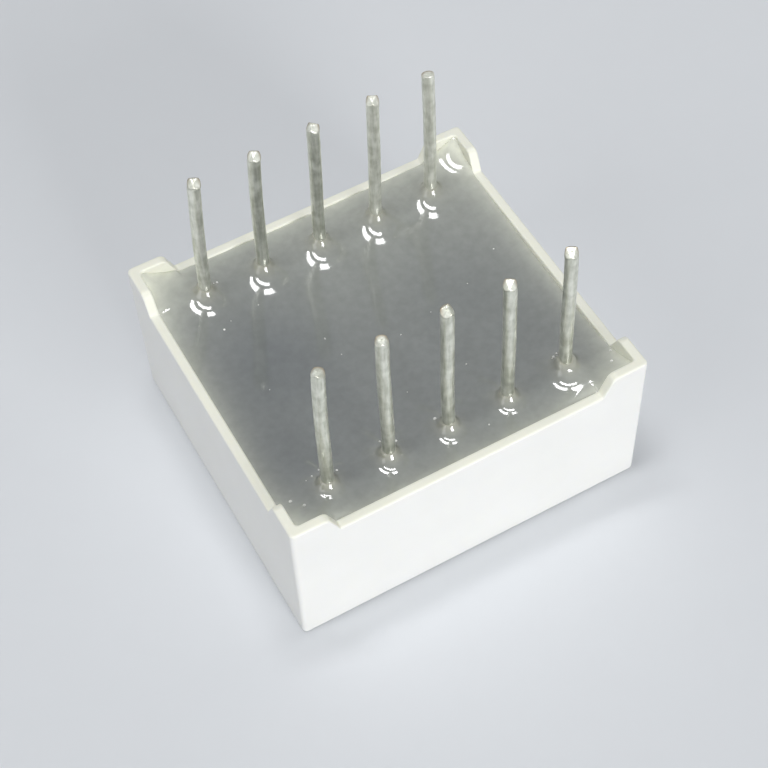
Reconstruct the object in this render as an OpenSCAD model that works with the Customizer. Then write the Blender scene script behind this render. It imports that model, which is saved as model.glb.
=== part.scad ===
// Two-digit seven segment display, resting on its face with its ten pins up.
// X runs along the pin rows, Y from the bottom of the digits to their top, and Z from the
// display face at 0 to the pin tips. The digits are read from below, so they are drawn in
// an as-read frame, with X to the reader's right, and mirrored into place.

/* [Body] */
// Width of the body, along the pin rows
body_w = 15; // [14:0.1:20]
// Depth of the body, along the height of the digits
body_d = 14; // [13:0.1:18]
// Height of the side walls between the corner posts
wall_h = 6.3; // [5.9:0.1:8]
// Thickness of the side walls round the back
wall_t = 0.4; // [0.3:0.05:0.6]
// Thickness of the reflector block behind the face
reflector_t = 3.8; // [3:0.1:4.2]
// Radius of the upright corners of the body
corner_r = 0.2; // [0.1:0.05:0.6]
// Radius of the edges round the face
face_edge_r = 0.15; // [0.05:0.05:0.4]
// Radius of the upright corners inside the back
inner_corner_r = 0.3; // [0.1:0.05:0.6]

/* [Corner posts] */
// Height of the posts above the side walls
post_rise = 0.9; // [0.5:0.1:1.5]
// Length of a post's flat top along each wall
post_flat = 1.3; // [0.8:0.1:2]
// Radius that rounds a post's top into its slope
post_round = 0.35; // [0.1:0.05:0.6]
// Steepness of a post's slope, in degrees
post_angle = 65; // [45:1:85]

/* [Digits] */
// Height of a digit
digit_h = 9.14; // [7:0.01:9.3]
// Width of a digit, before it is slanted
digit_w = 4.7; // [4:0.1:5]
// Distance between the centres of the digits
digit_pitch = 7.2; // [7:0.1:7.6]
// Width of a segment's stroke
segment_w = 0.9; // [0.7:0.05:1.1]
// Clear distance between neighbouring segments
segment_gap = 0.25; // [0.15:0.05:0.4]
// Slant of the digits, in degrees
slant = 10; // [0:1:12]
// Diameter of the decimal points
point_d = 1; // [0.8:0.05:1.1]
// Clear distance between a digit and its decimal point
point_gap = 0.35; // [0.25:0.05:0.5]

/* [Light wells] */
// Depth of the straight lip of a well, behind the face
well_lip = 0.5; // [0.2:0.1:1]
// Length of a well's opening at the board
well_floor_l = 1.5; // [1.2:0.1:2]
// Width of a well's opening at the board
well_floor_w = 0.6; // [0.5:0.05:0.7]
// Diameter of a decimal point's opening at the board
point_floor_d = 0.8; // [0.75:0.05:0.9]

/* [Board] */
// Thickness of the circuit board
board_t = 1; // [0.8:0.1:1.2]
// Clear distance between the board and the walls
board_gap = 0.15; // [0.05:0.05:0.3]
// Thickness of the copper on the board
copper_t = 0.035; // [0.03:0.005:0.07]
// Clear distance between the corners of a pin's flat and its hole in the board
hole_clearance = 0.08; // [0.07:0.01:0.1]
// Width of the copper ring round each hole
ring_w = 0.075; // [0.05:0.005:0.1]
// Width of the copper tracks
track_w = 0.2; // [0.15:0.05:0.25]

/* [Dies and bond wires] */
// Width of copper left bare round a die
pad_margin = 0.045; // [0.02:0.005:0.05]
// Side of a light-emitting die
die_w = 0.25; // [0.2:0.01:0.3]
// Height of a light-emitting die
die_h = 0.18; // [0.12:0.01:0.25]
// Distance from a die to its bond pad
bond_reach = 0.42; // [0.38:0.01:0.45]
// Height of a bond wire's arch above its chord
bond_arch = 0.15; // [0.1:0.01:0.25]
// Thickness of a bond wire
bond_wire_t = 0.03; // [0.025:0.005:0.04]

/* [Pins] */
// Number of pins in each of the two rows
pins_per_row = 5; // [2:1:5]
// Diameter of a pin
pin_d = 0.5; // [0.42:0.01:0.52]
// Distance between neighbouring pins of a row
pin_pitch = 2.54; // [2.3:0.01:2.6]
// Distance between the two rows
row_pitch = 10.16; // [10.1:0.01:10.4]
// Length of a pin beyond the corner posts
pin_reach = 6; // [2:0.1:15]
// Chamfer of a pin's tip
pin_chamfer = 0.06; // [0.02:0.01:0.1]
// Thickness of the flat that is stamped on a pin's inner end
anchor_t = 0.32; // [0.3:0.01:0.36]
// Length of a pin past the front of the board
pin_tail = 0.35; // [0.2:0.05:0.5]
// Depth left free past the end of each pin
tail_clearance = 0.15; // [0.1:0.05:0.3]

/* [Potting] */
// Depth of the resin's surface below the side walls
resin_drop = 0.2; // [0.1:0.05:0.4]
// Height that the resin climbs at the side walls
wall_climb = 0.17; // [0.05:0.01:0.2]
// Width of the curved rim of resin along the walls
wall_climb_w = 0.7; // [0.4:0.1:1]
// Height that the resin climbs up a pin
pin_climb = 0.34; // [0.3:0.01:0.38]
// Radius of the collar of resin round a pin
collar_r = 1; // [0.8:0.05:1.2]

/* [Hidden] */
$fn = 48;
over = 1;
post_top = wall_h + post_rise;
cavity_w = body_w - 2 * wall_t;
cavity_d = body_d - 2 * wall_t;

// The board lies on the reflector with its copper between them.
board_front = reflector_t + copper_t;
board_back = board_front + board_t;
copper_back = board_back + copper_t;
board_w = cavity_w - 2 * board_gap;
board_d = cavity_d - 2 * board_gap;

resin_z = wall_h - resin_drop;
// A circle of this radius is level at the resin's surface and climbs to the wall.
dish_r = (pow(wall_climb_w, 2) + pow(wall_climb, 2)) / (2 * wall_climb);

// The round shank starts low in the resin's collar, and the flat below it has the same section.
shank_z = resin_z + 0.35 * pin_climb;
tip_z = post_top + pin_reach;
tail_z = reflector_t - pin_tail;
anchor_w = PI * pow(pin_d / 2, 2) / anchor_t;
anchor_r = norm([anchor_w, anchor_t]) / 2;
pin_hole_d = 2 * (anchor_r + hole_clearance);
ring_d = pin_hole_d + 2 * ring_w;
solder_neck_r = anchor_r + hole_clearance / 3;
solder_foot_r = (pin_hole_d + ring_w) / 2;
solder_back_h = 0.4;
solder_front_h = 0.2;

die_pad_w = die_w + 2 * pad_margin;
bond_pad_w = 0.2;
half_w = digit_w / 2;
half_h = digit_h / 2;
// Shift along a 45 degree joint that parts two segments by the clear distance
mitre = segment_gap / sqrt(2);
edge_samples = 4;
well_rings = 3;
collar_steps = 6;
bond_steps = 8;

SIDES = ["left", "right"];
BARS = ["a", "b", "c", "d", "e", "f", "g"];
LIGHTS = concat(BARS, ["point"]);
PINS = [1:2 * pins_per_row];

function plug_name(side, light) = str(side, light == "point" ? "_" : "_segment_", light);
function die_name(side, light) = str(side, "_die_", light);
function pin_name(n) = str("pin_", n);

function blend(a, b, t) = a + (b - a) * t;
function slanted(p) = [p.x + p.y * tan(slant), p.y];
function digit_x(side) = (side == "left" ? -0.5 : 0.5) * digit_pitch;

// Corners of the segments before the slant, anticlockwise in the as-read frame

function top_bar() = [
    [half_w - mitre, half_h],
    [mitre - half_w, half_h],
    [mitre - half_w + segment_w, half_h - segment_w],
    [half_w - mitre - segment_w, half_h - segment_w]
];

function upper_right_bar() = [
    [half_w, segment_gap / 2],
    [half_w, half_h - mitre],
    [half_w - segment_w, half_h - segment_w - mitre],
    [half_w - segment_w, segment_w / 2 + mitre],
    [half_w - segment_w / 2 + mitre - segment_gap / 2, segment_gap / 2]
];

function middle_bar() = [
    [half_w - segment_w / 2 - mitre, 0],
    [half_w - segment_w - mitre, segment_w / 2],
    [segment_w + mitre - half_w, segment_w / 2],
    [segment_w / 2 + mitre - half_w, 0],
    [segment_w + mitre - half_w, -segment_w / 2],
    [half_w - segment_w - mitre, -segment_w / 2]
];

// Flips an outline in X or Y. One flip turns its points round, so they are reversed.
function flipped(points, sx, sy) =
    let (n = len(points))
    [for (i = [0:n - 1]) let (p = points[sx * sy > 0 ? i : n - 1 - i]) [p.x * sx, p.y * sy]];

function bar_outline(light) =
    light == "a" ? top_bar() :
    light == "d" ? flipped(top_bar(), 1, -1) :
    light == "b" ? upper_right_bar() :
    light == "c" ? flipped(upper_right_bar(), 1, -1) :
    light == "e" ? flipped(upper_right_bar(), -1, -1) :
    light == "f" ? flipped(upper_right_bar(), -1, 1) :
    middle_bar();

function is_upright(light) = light == "b" || light == "c" || light == "e" || light == "f";

// Middle of each light before the slant
function light_middle(light) =
    let (
        x = half_w - segment_w / 2,
        y = half_h - segment_w / 2
    )
    light == "point" ? [half_w + point_gap + point_d / 2, point_d / 2 - half_h] :
    light == "a" ? [0, y] :
    light == "d" ? [0, -y] :
    light == "g" ? [0, 0] :
    [light == "b" || light == "c" ? x : -x, (light == "b" || light == "f" ? 0.5 : -0.5) * half_h];

// Direction from a die to its bond pad: away from the middle bar, or to the right
function bond_angle(light) =
    light == "b" || light == "f" ? 90 :
    light == "c" || light == "e" ? -90 :
    0;

function die_place(light) =
    let (angle = bond_angle(light))
    slanted(light_middle(light)) - [cos(angle), sin(angle)] * bond_reach / 2;

function pin_place(n) = n <= pins_per_row
    ? [(n - (pins_per_row + 1) / 2) * pin_pitch, -row_pitch / 2]
    : [((3 * pins_per_row + 1) / 2 - n) * pin_pitch, row_pitch / 2];

// Splits each edge of an outline, so that it can turn into the oval at the board.
function sampled(points) =
    let (n = len(points))
    [for (i = [0:n - 1]) for (k = [0:edge_samples - 1])
        blend(points[i], points[(i + 1) % n], k / edge_samples)];

// The point of the oval at the board that belongs to a point of the outline at the face:
// both lie in the same direction from the middle, each in its own half-sizes.
function oval_point(p, middle, half, floor_half) =
    let (
        q = [(p.x - middle.x) / half.x, (p.y - middle.y) / half.y]
    )
    middle + [floor_half.x * q.x, floor_half.y * q.y] / norm(q);

// Rings of a well from the face to the board. The wall is a parabola, as in a reflector:
// its distance from the oval grows with the root of its height above the board.
function well_layers(light, extra) =
    let (
        upright = is_upright(light),
        face = sampled(bar_outline(light)),
        middle = light_middle(light),
        long = (upright ? half_h / 2 : half_w) - mitre,
        half = upright ? [segment_w / 2, long] : [long, segment_w / 2],
        floor_l = well_floor_l / 2,
        floor_w = well_floor_w / 2,
        floor_half = upright ? [floor_w, floor_l] : [floor_l, floor_w],
        oval = [for (p = face) oval_point(p, middle, half, floor_half)],
        shares = [for (i = [0:well_rings]) i / well_rings],
        heights = [for (u = shares) reflector_t - pow(1 - u, 2) * (reflector_t - well_lip)],
        inner = [for (k = [0:well_rings]) [for (i = [0:len(face) - 1])
            let (p = slanted(blend(face[i], oval[i], shares[k])))
            [p.x, p.y, heights[k]]]]
    )
    concat(
        [[for (p = inner[0]) [p.x, p.y, -extra]]],
        inner,
        extra > 0 ? [[for (p = inner[well_rings]) [p.x, p.y, reflector_t + extra]]] : []
    );

function centre(points) = [for (axis = [0:2]) [for (p = points) p[axis]] * [for (p = points) 1]] / len(points);

// A closed solid through rings that have the same number of points, with a fan at each end
module ringed_solid(layers) {
    n = len(layers[0]);
    last = len(layers) - 1;
    first_hub = n * len(layers);
    points = concat(
        [for (layer = layers) for (p = layer) p],
        [centre(layers[0]), centre(layers[last])]
    );
    ends = [for (i = [0:n - 1])
        let (
            j = (i + 1) % n
        )
        each [[first_hub, i, j], [first_hub + 1, last * n + j, last * n + i]]];
    sides = [for (k = [0:last - 1]) for (i = [0:n - 1])
        let (
            j = (i + 1) % n,
            low = k * n,
            high = low + n
        )
        each [[low + i, high + i, high + j], [low + i, high + j, low + j]]];
    polyhedron(points = points, faces = concat(ends, sides), convexity = 6);
}

module as_read() {
    mirror([1, 0, 0]) children();
}

// The room of one light well, in the as-read frame. extra lets a cut run past both ends.
module well(side, light, extra = 0) {
    translate([digit_x(side), 0, 0])
        if (light == "point") {
            translate(slanted(light_middle(light)))
                rotate_extrude()
                    polygon([
                        [0, -extra],
                        [point_d / 2, -extra],
                        [point_d / 2, well_lip],
                        [point_floor_d / 2, reflector_t],
                        [point_floor_d / 2, reflector_t + extra],
                        [0, reflector_t + extra]
                    ]);
        } else {
            ringed_solid(well_layers(light, extra));
        }
}

module rounded_rectangle(w, d, r) {
    square([w - 2 * r, d], center = true);
    square([w, d - 2 * r], center = true);
    for (x = [-1, 1]) for (y = [-1, 1])
        translate([x * (w / 2 - r), y * (d / 2 - r)]) circle(r);
}

// Upright outline of the body, w wide, with rounded edges at the face
module body_outline(w) {
    r = face_edge_r;
    translate([-w / 2, r]) square([w, post_top - r]);
    translate([r - w / 2, 0]) square([w - 2 * r, 2 * r]);
    for (x = [-1, 1]) translate([x * (w / 2 - r), r]) circle(r);
}

module body_blank() {
    intersection() {
        linear_extrude(post_top) rounded_rectangle(body_w, body_d, corner_r);
        rotate([90, 0, 0]) linear_extrude(body_d + 2 * over, center = true) body_outline(body_w);
        rotate([90, 0, 90]) linear_extrude(body_w + 2 * over, center = true) body_outline(body_d);
    }
}

// The gap between two posts of a wall w long: its sides are the posts' slopes, which turn
// into the flat tops by an arc.
module wall_gap(w) {
    arc_x = w / 2 - post_flat;
    arc_z = post_top - post_round;
    slope_top = [arc_x - post_round * sin(post_angle), arc_z + post_round * cos(post_angle)];
    foot_x = slope_top.x - (slope_top.y - wall_h) / tan(post_angle);
    arc = [for (a = [90 + post_angle:-post_angle / 5:89.9])
        [arc_x + post_round * cos(a), arc_z + post_round * sin(a)]];
    right = concat([[foot_x, wall_h]], arc, [[arc_x, post_top + over]]);
    left = [for (i = [len(right) - 1:-1:0]) [-right[i].x, right[i].y]];
    polygon(concat(right, left));
}

module reflector_housing() {
    color("ivory") difference() {
        body_blank();
        translate([0, 0, reflector_t])
            linear_extrude(post_top) rounded_rectangle(cavity_w, cavity_d, inner_corner_r);
        rotate([90, 0, 0]) linear_extrude(body_d + 2 * over, center = true) wall_gap(body_w);
        rotate([90, 0, 90]) linear_extrude(body_w + 2 * over, center = true) wall_gap(body_d);
        as_read() {
            for (side = SIDES) for (light = LIGHTS) well(side, light, over);
            for (n = PINS) translate(concat(pin_place(n), [tail_z - tail_clearance]))
                cylinder(d = ring_d, h = reflector_t);
        }
    }
}

module plug(side, light) {
    color("whitesmoke") as_read() difference() {
        well(side, light);
        die_block(side, light);
        bond_wire(side, light);
    }
}

// A die stands on the copper and points at the face.
module die_block(side, light) {
    translate(concat(die_place(light) + [digit_x(side), 0], [reflector_t - die_h / 2]))
        cube([die_w, die_w, die_h], center = true);
}

module die(side, light) {
    color("darkred") as_read() die_block(side, light);
}

// Height of a wire's edge above the copper, at a share t of the way from the die to its pad
function wire_height(t, arch) = blend(die_h, 0, t) + 4 * arch * t * (1 - t);

module bond_wire(side, light) {
    steps = [for (i = [0:bond_steps]) i / bond_steps];
    inner = [for (t = steps) [bond_reach * t, wire_height(t, bond_arch)]];
    outer = [for (t = steps) [
        blend(-bond_wire_t, bond_reach + bond_wire_t, 1 - t),
        wire_height(1 - t, bond_arch + bond_wire_t)
    ]];
    translate(concat(die_place(light) + [digit_x(side), 0], [reflector_t]))
        rotate([0, 0, bond_angle(light)])
            rotate([-90, 0, 0])
                linear_extrude(bond_wire_t, center = true) polygon(concat(inner, outer));
}

module bond_wires(side) {
    color("gold") as_read()
        for (light = LIGHTS) bond_wire(side, light);
}

module pin_holes(z, h) {
    for (n = PINS) translate(concat(pin_place(n), [z])) cylinder(d = pin_hole_d, h = h);
}

module circuit_board() {
    color("darkolivegreen") difference() {
        translate([-board_w / 2, -board_d / 2, board_front]) cube([board_w, board_d, board_t]);
        as_read() pin_holes(board_front - over, board_t + 2 * over);
    }
}

// A straight track between two points, which runs past them by half its width
module track(start, end) {
    run = end - start;
    translate(start)
        rotate(atan2(run.y, run.x))
            translate([-track_w / 2, -track_w / 2])
                square([norm(run) + track_w, track_w]);
}

// Die pads, bond pads and the common track that joins the die pads of one digit
module digit_copper(side) {
    middle = [digit_x(side), 0];
    loop = ["a", "b", "c", "d", "e", "f"];
    for (light = LIGHTS) {
        angle = bond_angle(light);
        place = middle + die_place(light);
        translate(place) square(die_pad_w, center = true);
        translate(place + [cos(angle), sin(angle)] * (bond_reach + bond_wire_t / 2))
            square(bond_pad_w, center = true);
    }
    for (i = [0:len(loop) - 1])
        track(middle + die_place(loop[i]), middle + die_place(loop[(i + 1) % len(loop)]));
    track(middle + (die_place("e") + die_place("f")) / 2, middle + die_place("g"));
    track(middle + blend(die_place("c"), die_place("d"), 0.55), middle + die_place("point"));
}

// The left digit's common is the last pin, and the right digit's is the last of the first row.
module board_copper() {
    color("peru") as_read() difference() {
        union() {
            translate([0, 0, reflector_t]) linear_extrude(copper_t) {
                for (side = SIDES) digit_copper(side);
                for (n = PINS) translate(pin_place(n)) circle(d = ring_d);
                track(
                    [digit_x("left"), 0] + (die_place("f") + die_place("a")) / 2,
                    pin_place(2 * pins_per_row)
                );
                track([digit_x("right"), 0] + die_place("point"), pin_place(pins_per_row));
            }
            for (n = PINS) translate(concat(pin_place(n), [board_back]))
                cylinder(d = ring_d, h = copper_t);
        }
        pin_holes(reflector_t - over, board_t + 2 * over + 2 * copper_t);
    }
}

// The flat that is stamped on a pin's inner end, which locks it in the board and the resin
module pin_anchor(n) {
    translate(concat(pin_place(n), [(tail_z + shank_z) / 2]))
        cube([anchor_w, anchor_t, shank_z - tail_z], center = true);
}

module pin_shank(n) {
    translate(concat(pin_place(n), [shank_z]))
        cylinder(d = pin_d, h = tip_z - pin_chamfer - shank_z);
}

module pin(n) {
    color("silver") as_read() {
        pin_anchor(n);
        pin_shank(n);
        translate(concat(pin_place(n), [tip_z - pin_chamfer]))
            cylinder(d1 = pin_d, d2 = pin_d - 2 * pin_chamfer, h = pin_chamfer);
    }
}

// Solder fills the hole round a pin and makes a hollow cone on each face of the board.
module solder_body(n) {
    back_z = copper_back + solder_back_h;
    front_z = reflector_t - solder_front_h;
    hollow_r = blend(solder_neck_r, solder_foot_r, 0.3);
    translate(pin_place(n)) rotate_extrude() polygon([
        [0, front_z],
        [solder_neck_r, front_z],
        [solder_foot_r, reflector_t],
        [pin_hole_d / 2, reflector_t],
        [pin_hole_d / 2, copper_back],
        [solder_foot_r, copper_back],
        [hollow_r, copper_back + solder_back_h * 0.35],
        [solder_neck_r, back_z],
        [0, back_z]
    ]);
}

module solder_joints() {
    color("lightgray") as_read()
        for (n = PINS) difference() {
            solder_body(n);
            pin_anchor(n);
        }
}

// Height of the resin's collar above its surface, r from the pin's axis
function collar_height(r) = pin_climb * pow((collar_r - r) / (collar_r - pin_d / 2), 2.4);

module resin_collar(n) {
    radii = [for (i = [0:collar_steps]) blend(pin_d / 2, collar_r, i / collar_steps)];
    translate(pin_place(n)) rotate_extrude() polygon(concat(
        [[0, resin_z - pin_climb], [0, resin_z + pin_climb]],
        [for (r = radii) [r, resin_z + collar_height(r)]],
        [[collar_r, resin_z - pin_climb]]
    ));
}

// The air above the resin: a pan whose rounded rim meets the walls where the resin climbs
module resin_dish() {
    x = cavity_w / 2 - wall_climb_w;
    y = cavity_d / 2 - wall_climb_w;
    hull() {
        for (sx = [-1, 1]) for (sy = [-1, 1]) translate([sx * x, sy * y, resin_z + dish_r]) {
            sphere(dish_r, $fn = 32);
            cylinder(r = dish_r, h = over, $fn = 32);
        }
    }
}

module rear_potting() {
    color("gray") difference() {
        union() {
            difference() {
                translate([0, 0, board_front]) linear_extrude(post_top - board_front - 0.3)
                    rounded_rectangle(cavity_w, cavity_d, inner_corner_r);
                resin_dish();
            }
            as_read() for (n = PINS) resin_collar(n);
        }
        translate([-board_w / 2, -board_d / 2, board_front - over])
            cube([board_w, board_d, board_t + over]);
        as_read() for (n = PINS) {
            translate(concat(pin_place(n), [board_back])) cylinder(d = ring_d, h = copper_t);
            solder_body(n);
            pin_anchor(n);
            pin_shank(n);
        }
    }
}

reflector_housing();
rear_potting();
circuit_board();
board_copper();
solder_joints();
for (side = SIDES) {
    bond_wires(side);
    for (light = LIGHTS) {
        plug(side, light);
        die(side, light);
    }
}
for (n = PINS)
    pin(n);
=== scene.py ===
"""A two-digit seven segment display that lies on its face with its ten pins up.

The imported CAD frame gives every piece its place. The housing, the potting resin and the pins
are made again here as surfaces computed with numpy. The board, what is mounted on it and the
resin plugs of the segments keep their CAD meshes and get real finishes. Sizes of the object
are in millimetres, and are turned to metres when a mesh is made. Those of the studio are in
metres.
"""

import logging
import math
from dataclasses import dataclass, field
from enum import Enum

import bmesh
import bpy
import numpy as np
from mathutils import Matrix, Vector, geometry


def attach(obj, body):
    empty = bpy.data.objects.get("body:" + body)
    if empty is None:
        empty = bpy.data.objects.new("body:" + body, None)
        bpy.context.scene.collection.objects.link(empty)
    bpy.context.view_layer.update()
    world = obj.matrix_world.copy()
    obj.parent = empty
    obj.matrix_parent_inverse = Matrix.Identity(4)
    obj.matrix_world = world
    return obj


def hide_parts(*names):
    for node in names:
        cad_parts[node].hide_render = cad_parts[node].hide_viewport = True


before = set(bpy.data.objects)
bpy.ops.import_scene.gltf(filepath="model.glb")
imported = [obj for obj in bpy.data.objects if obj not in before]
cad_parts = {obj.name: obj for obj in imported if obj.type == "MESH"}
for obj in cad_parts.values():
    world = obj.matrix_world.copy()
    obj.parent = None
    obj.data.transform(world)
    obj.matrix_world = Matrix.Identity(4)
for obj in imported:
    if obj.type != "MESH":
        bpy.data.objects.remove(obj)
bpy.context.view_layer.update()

MM = 0.001
# A Mix node's sockets for colours, whose names are also those of its sockets for numbers
MIX_A, MIX_B, MIX_OUT = 6, 7, 2
BLEND = {"data_type": "RGBA"}
TINT = {"data_type": "RGBA", "blend_type": "MULTIPLY", 0: 1.0}
log = logging.getLogger("display")


# ---------------------------------------------------------------- shared tools


def linear(hex_colour: str) -> tuple[float, float, float, float]:
    """Turns an sRGB hex colour to linear light.

    Args:
        hex_colour: A hash and six hex digits.

    Returns:
        Linear red, green and blue, and an alpha of 1.
    """
    srgb = np.array([int(hex_colour[i : i + 2], 16) / 255 for i in (1, 3, 5)])
    light = np.where(srgb <= 0.04045, srgb / 12.92, ((srgb + 0.055) / 1.055) ** 2.4)
    return (*map(float, light), 1.0)


def add_node(
    tree: bpy.types.NodeTree, kind: str, settings: dict | None = None, links: dict | None = None
) -> bpy.types.Node:
    """Adds one node to a node tree, with its settings and its incoming links.

    Args:
        tree: The tree that gets the node.
        kind: The node's type name, without the "ShaderNode" that each one starts with.
        settings: Properties of the node by name, or values of its inputs by name or number.
        links: Output sockets by the name or number of the input that they feed.

    Returns:
        The new node.
    """
    node = tree.nodes.new("ShaderNode" + kind)
    for key, value in (settings or {}).items():
        if isinstance(key, str) and hasattr(node, key):
            setattr(node, key, value)
        else:
            node.inputs[key].default_value = value
    for key, socket in (links or {}).items():
        tree.links.new(socket, node.inputs[key])
    return node


def smoothstep(low: float, high: float, value: np.ndarray) -> np.ndarray:
    """Rises from 0 at low to 1 at high along the cubic 3t2 - 2t3."""
    t = np.clip((value - low) / (high - low), 0, 1)
    return t * t * (3 - 2 * t)


def circle(samples: int) -> np.ndarray:
    """Points of a circle of radius 1, anticlockwise from +X."""
    turn = np.linspace(0, 2 * math.pi, samples, endpoint=False)
    return np.column_stack([np.cos(turn), np.sin(turn)])


def ring_faces(rings: int, around: int, flip: bool = False) -> np.ndarray:
    """Quads between neighbouring closed rings of points that are stored ring by ring.

    Args:
        rings: Number of rings.
        around: Number of points in each ring.
        flip: Turns the faces over.

    Returns:
        One row of four point numbers for each quad.
    """
    ring, spot = np.meshgrid(np.arange(rings - 1), np.arange(around), indexing="ij")
    here, beside = ring * around + spot, ring * around + (spot + 1) % around
    quads = np.stack([here, beside, beside + around, here + around], -1).reshape(-1, 4)
    return quads[:, ::-1] if flip else quads


def grid_faces(rows: int, columns: int) -> np.ndarray:
    """Quads of an open grid of points that are stored row by row.

    Args:
        rows: Number of rows, which follow each other along +Y.
        columns: Number of points in each row, along +X.

    Returns:
        One row of four point numbers for each quad, which faces up.
    """
    row, column = np.meshgrid(np.arange(rows - 1), np.arange(columns - 1), indexing="ij")
    here = row * columns + column
    return np.stack([here, here + 1, here + columns + 1, here + columns], -1).reshape(-1, 4)


def inside_loop(points: np.ndarray, loop: np.ndarray) -> np.ndarray:
    """Tells which points lie inside a closed loop, by counting the edges to their right.

    Args:
        points: One row of x and y for each point.
        loop: One row of x and y for each corner of the loop.

    Returns:
        True for each point inside.
    """
    start, end = loop, np.roll(loop, -1, 0)
    x, y = points[:, :1], points[:, 1:2]
    spans = (start[:, 1] > y) != (end[:, 1] > y)
    rise = end[:, 1] - start[:, 1]
    share = (y - start[:, 1]) / np.where(rise == 0, 1, rise)
    return ((x < start[:, 0] + share * (end[:, 0] - start[:, 0])) & spans).sum(1) % 2 == 1


class Surface:
    """Collects surface patches, in millimetres, and turns them into one closed mesh."""

    # Points nearer to each other than this are merged
    merge_distance = 2e-4

    def __init__(self) -> None:
        """Starts with no patches."""
        self.points: list[np.ndarray] = []
        self.faces: list[list[int]] = []
        self.values: dict[str, list[np.ndarray]] = {}
        self.count = 0

    def add(self, points: np.ndarray, faces: np.ndarray, **values: np.ndarray) -> None:
        """Adds one patch.

        Args:
            points: One row of x, y and z for each point.
            faces: One row of point numbers for each face.
            values: Numbers for each point, which become attributes of the mesh.
        """
        self.points.append(points)
        self.faces.extend((faces + self.count).tolist())
        for name in sorted(set(self.values) | set(values)):
            kept = self.values.setdefault(name, [np.zeros(self.count)])
            kept.append(np.broadcast_to(values.get(name, 0.0), len(points)))
        self.count += len(points)

    def add_flat(self, outline: np.ndarray, holes: list[np.ndarray], z: float, up: bool) -> None:
        """Adds a level plate with holes, cut into triangles between its given points only.

        Args:
            outline: The plate's outline, one row of x and y for each point.
            holes: Outlines of the holes.
            z: Height of the plate.
            up: Whether the plate faces up.
        """
        loops = [outline, *holes]
        starts = np.cumsum([0, *map(len, loops)])
        edges = [
            (int(first + i), int(first + (i + 1) % len(loop)))
            for first, loop in zip(starts, loops)
            for i in range(len(loop))
        ]
        flat = [Vector(map(float, p)) for p in np.concatenate(loops)]
        found = geometry.delaunay_2d_cdt(flat, edges, [], 0, 1e-7)
        points = np.array([tuple(p) for p in found[0]])
        faces = np.array(found[2])
        middle = points[faces].mean(1)
        keep = inside_loop(middle, outline)
        for hole in holes:
            keep &= ~inside_loop(middle, hole)
        faces = faces[keep]
        a, b, c = (points[faces[:, i]] for i in range(3))
        ab, ac = b - a, c - a
        wrong = (ab[:, 0] * ac[:, 1] - ab[:, 1] * ac[:, 0] > 0) != up
        faces[wrong] = faces[wrong][:, ::-1]
        self.add(np.column_stack([points, np.full(len(points), z)]), faces)

    def build(self, name: str, crease: float) -> bpy.types.Object:
        """Merges the patches and makes the object.

        Args:
            name: The piece's name.
            crease: Angle in degrees from which an edge is shaded sharp.

        Returns:
            The new object, at the origin.
        """
        mesh = bpy.data.meshes.new(name)
        mesh.from_pydata((np.concatenate(self.points) * MM).tolist(), [], self.faces)
        for key, parts in self.values.items():
            layer = mesh.attributes.new(key, "FLOAT", "POINT")
            layer.data.foreach_set("value", np.concatenate(parts).astype(np.float32))
        shape = bmesh.new()
        shape.from_mesh(mesh)
        bmesh.ops.remove_doubles(shape, verts=shape.verts, dist=self.merge_distance * MM)
        shape.to_mesh(mesh)
        shape.free()
        mesh.shade_smooth()
        mesh.set_sharp_from_angle(angle=math.radians(crease))
        piece = bpy.data.objects.new(name, mesh)
        bpy.context.scene.collection.objects.link(piece)
        return piece


def settle(piece: bpy.types.Object, node: str) -> bpy.types.Object:
    """Lets a piece ride on the part and hides the CAD node it stands for.

    Args:
        piece: The piece's object.
        node: Name of the CAD node.

    Returns:
        The piece.
    """
    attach(piece, "root")
    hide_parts(node)
    return piece


# -------------------------------------------------------------------- finishes


@dataclass(frozen=True)
class Finish:
    """What every finish shares: its name, and how its material starts."""

    name: str

    def start(self) -> tuple[bpy.types.Material, bpy.types.NodeTree, bpy.types.NodeSocket]:
        """Makes a material that only knows the object's own coordinates so far.

        Returns:
            The material, its node tree and the socket of the coordinates.
        """
        material = bpy.data.materials.new(self.name)
        material.use_nodes = True
        tree = material.node_tree
        tree.nodes.clear()
        return material, tree, add_node(tree, "TexCoord").outputs["Object"]


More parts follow.
